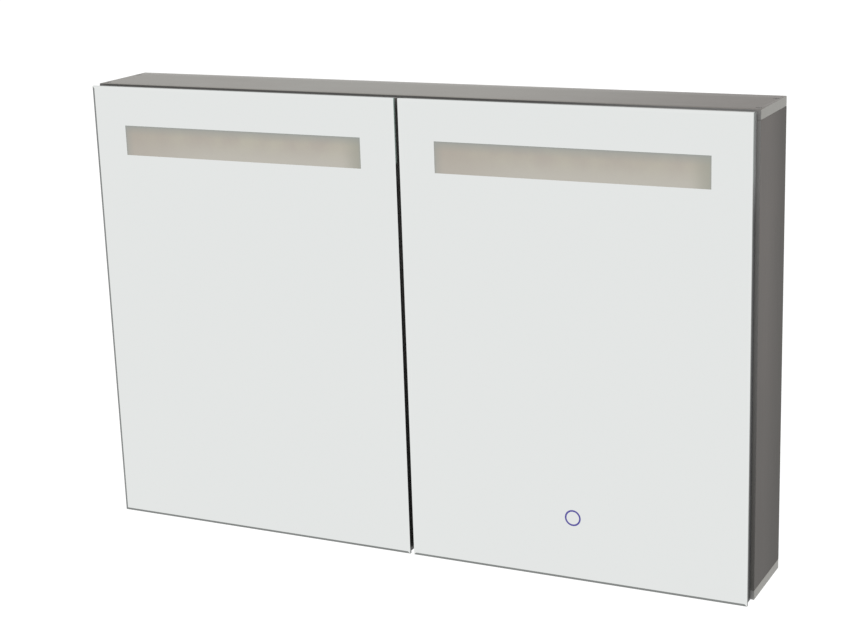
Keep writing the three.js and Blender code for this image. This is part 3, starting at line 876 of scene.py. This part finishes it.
@dataclass
class Door:
    """One mirrored door: bevelled glass with its frosted window, frame, rear mirror and light box."""

    assembly: Assembly
    side: str
    bevel_width: float = 3.2 * MM
    bevel_depth: float = 0.9 * MM
    window_recess: float = 0.2 * MM
    light_box_margin: float = 9.0 * MM
    frame_edge: float = 0.3 * MM
    bumper_radius: float = 4.0 * MM
    bumper_height: float = 1.6 * MM
    bumper_foot: float = 0.5
    bumper_steps: tuple[tuple[float, float], ...] = ((0.12, 0.22), (0.2, 0.16), (0.3, 0.1))
    bumper_inset: float = 12.0 * MM
    chip_pitch: float = 12.0 * MM
    chip_size: float = 3.0 * MM
    chip_height: float = 0.7 * MM
    chip_dish: float = 0.2 * MM
    chip_rim: float = 0.3

    def __post_init__(self) -> None:
        """Works out the body's name."""
        self.body = f"{self.side}_door"

    def build(self) -> None:
        """Builds the door."""
        self.add_glass()
        self.add_frame()
        self.add_light()
        self.add_bumpers()

    def window(self) -> tuple[Vector, Vector]:
        """The lowest and highest corners of the frosted window, from the light box behind it."""
        low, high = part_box(f"{self.side}_light_box")
        margin = Vector((self.light_box_margin, 0, self.light_box_margin))
        return low + margin, high - margin

    def add_glass(self) -> None:
        """The pane: a flat mirror with a polished bevel, greenish edges and a frosted window."""
        low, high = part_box(f"{self.side}_mirror_glass")
        shoulder = Vector((low.x, low.y + self.bevel_depth, low.z))
        pane = Bench.box(f"{self.side}_mirror_pane", shoulder, high)
        Bench.edit_faces(pane, looks(Facing.FRONT))
        bpy.ops.mesh.inset(thickness=self.bevel_width, depth=self.bevel_depth)
        Bench.leave()
        near, far = self.window()
        cuts = ((near, (1, 0, 0)), (far, (1, 0, 0)), (near, (0, 0, 1)), (far, (0, 0, 1)))
        for place, normal in cuts:
            Bench.edit_faces(pane, self.is_front)
            bpy.ops.mesh.bisect(plane_co=place, plane_no=normal)
            Bench.leave()

        def in_window(face: bmesh.types.BMFace) -> bool:
            """Whether a front face lies inside the window."""
            middle = face.calc_center_median()
            return self.is_front(face) and near.x < middle.x < far.x and near.z < middle.z < far.z

        Bench.edit_faces(pane, in_window)
        bpy.ops.mesh.extrude_region_move(TRANSFORM_OT_translate={"value": (0, self.window_recess, 0)})
        Bench.leave()
        self.assembly.shop.add(frosted_finish(f"{self.side}_frosted_window", near, far))
        self.assembly.fit(pane, self.body, "silvered_mirror", None, f"{self.side}_mirror_glass")
        self.paint_glass(pane, near, far, low.y)

    @staticmethod
    def is_front(face: Face) -> bool:
        """Whether a face looks straight forward."""
        return face.normal.y < -FLAT

    def paint_glass(self, pane: Piece, near: Vector, far: Vector, front: float) -> None:
        """Gives mirror, bevel, edge and window their own finishes."""
        window = f"{self.side}_frosted_window"
        names = ("mirror_face", "bright_bevel", "dark_reflection_bevel", "side_edge", "gap_edge", "top_edge", window,
                 "dark_moulding")
        pane.data.materials.clear()
        for name in names:
            pane.data.materials.append(self.assembly.shop[name])
        for face in pane.data.polygons:
            middle, normal = face.center, face.normal
            inside = near.x - MM < middle.x < far.x + MM and near.z - MM < middle.z < far.z + MM
            if self.is_front(face):
                finish = window if inside and middle.y > front + self.window_recess / 2 else "mirror_face"
            elif normal.y > STRAIGHT:
                finish = "dark_moulding"
            elif inside:
                finish = window
            elif abs(normal.y) > TILTED:
                finish = self.bevel_finish(normal)
            else:
                finish = self.edge_finish(normal)
            face.material_index = names.index(finish)

    def bevel_finish(self, normal: Vector) -> str:
        """The finish of one side of the bevel: a painted dark reflection below and at the far left, bright
        elsewhere.
        """
        # Painted dark reflection on the lower bevel faces and on the left door's left ones.
        dark_reflection = normal.z < -TILTED or (normal.x < -TILTED and self.side == "left")
        return "dark_reflection_bevel" if dark_reflection else "bright_bevel"

    def edge_finish(self, normal: Vector) -> str:
        """The finish of one side of the glass's edge: painted lighter where the doors meet, as a painted
        reflection.
        """
        if abs(normal.x) < abs(normal.z):
            return "top_edge"
        return "gap_edge" if normal.x * SIDES[self.side] < 0 else "side_edge"

    def add_frame(self) -> None:
        """Four mitred lengths and the mirror that closes the frame behind."""
        outside = Facing.RIGHT if self.side == "right" else Facing.LEFT
        # rail_top and stile_side give the frame's outer faces painted light and shade.
        bars = (("top_rail", "rail_metal", "rail_top", Facing.UP),
                ("bottom_rail", "rail_metal", "rail_top", Facing.DOWN),
                ("meeting_stile", "stile_metal", None, outside),
                ("hinge_stile", "stile_metal", "stile_side", outside))
        for bar, finish, open_finish, facing in bars:
            piece = self.assembly.soften(f"{self.side}_door_{bar}", self.body, "frame_aluminium", finish,
                                         self.frame_edge, True)
            if open_finish:
                self.assembly.paint(piece, open_finish, looks(facing))
        self.assembly.soften(f"{self.side}_rear_mirror", self.body, "silvered_mirror", "mirror_face",
                             self.frame_edge)

    def add_light(self) -> None:
        """Light box, diffuser, and the strip with its row of lamps."""
        self.assembly.dress(f"{self.side}_light_box", "white_moulding")
        self.assembly.dress(f"{self.side}_diffuser", "opal_sheet")
        self.assembly.dress(f"{self.side}_led_strip", "strip_board")
        low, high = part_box(f"{self.side}_led_strip")
        middle = (low.z + high.z) / 2
        half = self.chip_size / 2
        count = int((high.x - low.x) / self.chip_pitch)
        start = (low.x + high.x - (count - 1) * self.chip_pitch) / 2
        lamps = []
        for step in range(count):
            x = start + step * self.chip_pitch
            lamp = Bench.box("lamp", Vector((x - half, low.y - self.chip_height, middle - half)),
                             Vector((x + half, low.y, middle + half)))
            Bench.edit_faces(lamp, self.is_front)
            bpy.ops.mesh.inset(thickness=half * self.chip_rim, depth=-self.chip_dish)
            Bench.leave()
            lamps.append(lamp)
        row = Bench.merge(lamps, f"{self.side}_lamp_row")
        self.assembly.fit(row, self.body, "lamp_strip", "lamp_chip")

    def add_bumpers(self) -> None:
        """Clear domes near the free corners, which cushion the door against the case."""
        sign = SIDES[self.side]
        low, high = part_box(f"{self.side}_door_meeting_stile")
        x = high.x - self.bumper_inset if sign < 0 else low.x + self.bumper_inset
        for end, z in (("lower", low.z + self.bumper_inset), ("upper", high.z - self.bumper_inset)):
            dome = Bench.disc(f"{self.side}_{end}_bumper", self.bumper_radius,
                              self.bumper_height * self.bumper_foot)
            Bench.edit_faces(dome, looks(Facing.UP))
            for shrink, rise in self.bumper_steps:
                bpy.ops.mesh.inset(thickness=self.bumper_radius * shrink, depth=self.bumper_height * rise)
            Bench.leave()
            dome.data.transform(turned_to(Facing.REAR, Vector((x, high.y, z))))
            self.assembly.fit(Bench.smooth(dome), self.body, "opal_plastic", "soft_bumper")


@dataclass
class TouchButton:
    """The lit ring on the right door's glass, with the sensor behind it."""

    assembly: Assembly
    outer: float = 10.5 * MM
    inner: float = 8.3 * MM
    proud: float = 0.02 * MM
    sides: int = 96

    def build(self) -> None:
        """Builds the ring and dresses the sensor."""
        low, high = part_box("touch_sensor")
        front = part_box("right_mirror_glass")[0].y
        ring = Bench.disc("touch_ring", self.outer, self.proud, self.sides)
        Bench.edit_faces(ring, lambda face: abs(face.normal.z) > STRAIGHT)
        bpy.ops.mesh.inset(thickness=self.outer - self.inner, use_individual=True)
        bpy.ops.mesh.bridge_edge_loops()
        Bench.leave()
        centre = Vector(((low.x + high.x) / 2, front, (low.z + high.z) / 2))
        ring.data.transform(turned_to(Facing.FRONT, centre))
        self.assembly.fit(ring, "right_door", "silvered_mirror", "ring_light")
        self.assembly.dress("touch_sensor", "dark_moulding")


# ---- Driver and grommet ----


@dataclass
class Electrics:
    """The lights' driver on the back panel, and the grommet for the door leads."""

    assembly: Assembly
    screws: ScrewBox
    edge: float = 1.2 * MM
    ear: float = 10.0 * MM
    ear_thickness: float = 2.0 * MM
    ear_half: float = 7.0 * MM
    ear_edge: float = 0.6 * MM
    ear_hole: float = 5.5 * MM
    screw_scale: float = 0.9
    rib_count: int = 9
    rib_end: int = 2
    rib_height: float = 0.8 * MM
    rib_share: float = 0.18
    rib_foot: float = 0.1 * MM
    rib_margin: float = 5.0 * MM
    rib_edge: float = 0.32 * MM
    grommet_sides: int = 64
    grommet_edge: float = 0.5 * MM
    waist: float = 3.0 * MM
    waist_from_foot: float = 2.0 * MM
    waist_share: float = 0.66
    tool_share: float = 1.2

    def build(self) -> None:
        """Builds both."""
        self.add_driver()
        self.add_grommet()

    def add_driver(self) -> None:
        """A moulded box with raised ribs and two screwed ears."""
        low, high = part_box("led_driver")
        lid = high.y - self.rib_height
        shell = Bench.box("shell", low, Vector((high.x, lid, high.z)))
        parts = [Bench.bevel(shell, self.edge, segments=3)]
        pitch = (high.x - low.x) / (self.rib_count - 1 + 2 * self.rib_end)
        for step in range(self.rib_count):
            x = low.x + pitch * (step + self.rib_end)
            half = pitch * self.rib_share
            rib = Bench.box("rib", Vector((x - half, lid - self.rib_foot, low.z + self.rib_margin)),
                            Vector((x + half, high.y, high.z - self.rib_margin)))
            parts.append(Bench.bevel(rib, self.rib_edge))
        middle = (low.z + high.z) / 2
        top = low.y + self.ear_thickness
        for end, x, sign in (("left", low.x, -1), ("right", high.x, 1)):
            tip = x + sign * self.ear
            ear = Bench.box("ear", Vector((min(x, tip), low.y, middle - self.ear_half)),
                            Vector((max(x, tip), top, middle + self.ear_half)))
            parts.append(Bench.bevel(ear, self.ear_edge))
            place = Vector((x + sign * self.ear_hole, top, middle))
            self.screws.drive(f"driver_{end}_screw", "cabinet", Facing.REAR, place, self.screw_scale)
        driver = Bench.merge(parts, "driver_housing")
        self.assembly.fit(driver, "cabinet", "white_plastic", "white_moulding", "led_driver")

    def add_grommet(self) -> None:
        """A round rubber grommet with a bore and a waist."""
        low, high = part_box("cable_grommet")
        centre = (low + high) / 2
        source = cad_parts["cable_grommet"]
        bore = min(math.hypot(v.co.x - centre.x, v.co.z - centre.z) for v in source.data.vertices)
        outer = (high.x - low.x) / 2
        thickness = high.y - low.y
        body = Bench.disc("grommet", outer, thickness, self.grommet_sides)
        Bench.subtract(body, self.tube("hole", bore, thickness * 2, -thickness / 2))
        ring = self.tube("waist", outer * self.tool_share, self.waist, self.waist_from_foot)
        Bench.subtract(ring, self.tube("core", outer * self.waist_share, thickness, 0.0))
        Bench.subtract(body, ring)
        body.data.transform(turned_to(Facing.REAR, Vector((centre.x, low.y, centre.z))))
        grommet = Bench.bevel(body, self.grommet_edge)
        self.assembly.fit(grommet, "cabinet", "dark_plastic", "dark_moulding", "cable_grommet")

    def tube(self, name: str, radius: float, depth: float, foot: float) -> Piece:
        """A cylinder that starts at the given height, used as a cutting tool."""
        tool = Bench.disc(name, radius, depth, self.grommet_sides)
        tool.data.transform(Matrix.Translation((0, 0, foot)))
        return tool


# ---- Studio ----

SEEN_THROUGH: tuple[str, str] = ("Is Glossy Ray", "Is Transmission Ray")


@dataclass
class Studio:
    """A white room with soft light, and the camera."""

    camera_place: Vector = Vector((1.03086, -2.12441, 0.37041))
    camera_yaw: float = 26.3566
    camera_pitch: float = -15.3333
    camera_roll: float = -1.9204
    lens: float = 77.4
    sensor: float = 36.0
    floor_drop: float = 1.1
    floor_size: float = 60.0
    ambient: float = 0.62
    key: float = 1.35
    key_tilt: tuple[float, float] = (38.0, 18.0)
    key_softness: float = 40.0
    floor_colour: Colour = (0.82, 0.82, 0.82)
    floor_lift: Colour = (0.3, 0.3, 0.3)

    def build(self) -> None:
        """Builds world, floor, light and camera."""
        bpy.context.scene.view_settings.view_transform = "Standard"
        self.add_world()
        self.add_floor()
        self.add_key()
        self.add_camera()

    @staticmethod
    def ray_mask(tree: Tree, rays: tuple[str, ...]) -> Socket:
        """A mask that is 1 for any of the given kinds of ray."""
        path = tree.nodes.new("ShaderNodeLightPath")
        total = path.outputs[rays[0]]
        for name in rays[1:]:
            node = add_node(tree, "Math", {0: total, 1: path.outputs[name]})
            node.operation = "MAXIMUM"
            total = node.outputs[0]
        return total

    def add_world(self) -> None:
        """White where it is seen, and a plain soft level where it lights."""
        world = bpy.data.worlds.new("studio")
        bpy.context.scene.world = world
        world.use_nodes = True
        tree = world.node_tree
        tree.nodes.clear()
        lighting = add_node(tree, "Background", {
            "Strength": self.ambient, "Color": (1, 1, 1, 1)})
        white = add_node(tree, "Background", {"Color": (1, 1, 1, 1)})
        choose = add_node(tree, "MixShader", {
            "Fac": self.ray_mask(tree, ("Is Camera Ray", *SEEN_THROUGH)),
            1: lighting.outputs[0], 2: white.outputs[0]})
        add_node(tree, "OutputWorld", {"Surface": choose.outputs[0]})

    def add_floor(self) -> None:
        """A pale floor well below the hung cabinet. Gloss and glass see it as white."""
        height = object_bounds()[0][2] - self.floor_drop
        bpy.ops.object.select_all(action="DESELECT")
        bpy.ops.mesh.primitive_plane_add(size=self.floor_size, location=(0, 0, height))
        floor = Bench.settle(bpy.context.object, "floor")
        material = bpy.data.materials.new("floor_paint")
        material.use_nodes = True
        tree = material.node_tree
        tree.nodes.clear()
        paint = add_node(tree, "BsdfDiffuse", {"Color": (*self.floor_colour, 1)})
        lift = add_node(tree, "Emission", {
            "Strength": self.ray_mask(tree, ("Is Camera Ray",)), "Color": (*self.floor_lift, 1)})
        seen = add_node(tree, "AddShader", {
            0: paint.outputs[0], 1: lift.outputs[0]})
        white = tree.nodes.new("ShaderNodeEmission")
        choose = add_node(tree, "MixShader", {
            "Fac": self.ray_mask(tree, SEEN_THROUGH), 1: seen.outputs[0], 2: white.outputs[0]})
        add_node(tree, "OutputMaterial", {"Surface": choose.outputs[0]})
        floor.data.materials.append(material)
        floor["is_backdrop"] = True

    def add_key(self) -> None:
        """A broad, soft key light from above and in front. Gloss doesn't show it."""
        light = bpy.data.lights.new("key", "SUN")
        light.energy = self.key
        light.angle = math.radians(self.key_softness)
        holder = bpy.data.objects.new("key", light)
        holder.visible_glossy = False
        tilt, turn = (math.radians(angle) for angle in self.key_tilt)
        holder.rotation_euler = Euler((tilt, 0, turn))
        bpy.context.scene.collection.objects.link(holder)

    def add_camera(self) -> None:
        """The camera, in front of the cabinet, to its right and above, pitched down."""
        data = bpy.data.cameras.new("camera")
        data.lens = self.lens
        data.sensor_width = self.sensor
        camera = bpy.data.objects.new("camera", data)
        bpy.context.scene.collection.objects.link(camera)
        yaw = Matrix.Rotation(math.radians(self.camera_yaw), 4, "Z")
        pitch = Matrix.Rotation(math.radians(90 + self.camera_pitch), 4, "X")
        roll = Matrix.Rotation(math.radians(self.camera_roll), 4, "Z")
        camera.matrix_world = Matrix.Translation(self.camera_place) @ yaw @ pitch @ roll
        bpy.context.scene.camera = camera


def main() -> None:
    """Builds the studio and every assembly."""
    logging.basicConfig(level=logging.INFO, format="%(name)s: %(message)s")
    Studio().build()
    assembly = Assembly(MaterialShop(Effects()))
    screws = ScrewBox(assembly)
    Case(assembly, screws).build()
    Shelves(assembly).build()
    Hinges(assembly, screws).build()
    for side in SIDES:
        Door(assembly, side).build()
    TouchButton(assembly).build()
    Electrics(assembly, screws).build()
    screws.close()


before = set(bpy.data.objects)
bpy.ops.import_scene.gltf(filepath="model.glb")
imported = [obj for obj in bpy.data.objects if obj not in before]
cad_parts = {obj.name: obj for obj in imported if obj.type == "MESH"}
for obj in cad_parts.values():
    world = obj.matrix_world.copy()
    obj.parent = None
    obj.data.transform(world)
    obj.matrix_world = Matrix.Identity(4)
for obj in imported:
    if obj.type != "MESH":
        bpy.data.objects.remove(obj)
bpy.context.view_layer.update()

if __name__ == "__main__":
    main()
